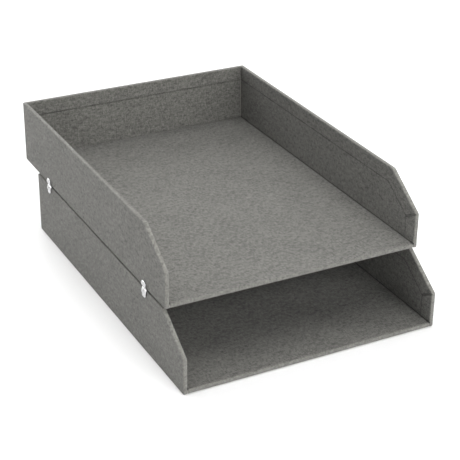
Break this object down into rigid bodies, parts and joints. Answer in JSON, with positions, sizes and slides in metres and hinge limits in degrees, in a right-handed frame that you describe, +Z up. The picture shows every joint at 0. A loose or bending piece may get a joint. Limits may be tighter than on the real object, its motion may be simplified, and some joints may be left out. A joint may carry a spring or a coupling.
{
  "type": "letter tray",
  "caption": "Stacking pair of cloth-covered board letter trays, open at the front with sloped side walls, the upper one set back on folded metal clips.",
  "frame": {"origin": "on the surface the lower tray stands on, under the middle of the whole pair", "axes": "+Z up, -Y towards the open front where paper goes in, +X to the right seen from the front"},
  "size_m": [0.2508, 0.3684, 0.1251],
  "materials": {
    "cloth": "matte",
    "board": "matte",
    "paper": "matte",
    "clip": "satin"
  },
  "bodies": {
    "lower_tray": {"lower_base_board": "board", "lower_left_board": "board", "lower_right_board": "board", "lower_back_board": "board", "lower_left_corner_stay": "paper", "lower_right_corner_stay": "paper", "lower_outer_wrap": "cloth", "lower_floor_lining": "cloth", "lower_left_lining": "cloth", "lower_right_lining": "cloth", "lower_back_lining": "cloth", "lower_underside_sheet": "paper"},
    "clip_left_rear": {"left_rear_clip": "clip"},
    "clip_left_front": {"left_front_clip": "clip"},
    "clip_right_rear": {"right_rear_clip": "clip"},
    "clip_right_front": {"right_front_clip": "clip"},
    "upper_tray": {"upper_base_board": "board", "upper_left_board": "board", "upper_right_board": "board", "upper_back_board": "board", "upper_left_corner_stay": "paper", "upper_right_corner_stay": "paper", "upper_outer_wrap": "cloth", "upper_floor_lining": "cloth", "upper_left_lining": "cloth", "upper_right_lining": "cloth", "upper_back_lining": "cloth", "upper_underside_sheet": "paper"}
  },
  "joints": [
    {"name": "left_rear_clip_pull", "type": "slide", "parent": "lower_tray", "child": "clip_left_rear", "axis": [0, 0, 1], "range_m": [0, 0.02]},
    {"name": "left_front_clip_pull", "type": "slide", "parent": "lower_tray", "child": "clip_left_front", "axis": [0, 0, 1], "range_m": [0, 0.02]},
    {"name": "right_rear_clip_pull", "type": "slide", "parent": "lower_tray", "child": "clip_right_rear", "axis": [0, 0, 1], "range_m": [0, 0.02]},
    {"name": "right_front_clip_pull", "type": "slide", "parent": "lower_tray", "child": "clip_right_front", "axis": [0, 0, 1], "range_m": [0, 0.02]},
    {"name": "upper_tray_lift", "type": "slide", "parent": "clip_left_rear", "child": "upper_tray", "axis": [0, 0, 1], "range_m": [0, 0.05]}
  ],
  "couplings": [
    {"joint": "left_front_clip_pull", "follows": "left_rear_clip_pull", "ratio": 1},
    {"joint": "right_rear_clip_pull", "follows": "left_rear_clip_pull", "ratio": 1},
    {"joint": "right_front_clip_pull", "follows": "left_rear_clip_pull", "ratio": 1}
  ]
}
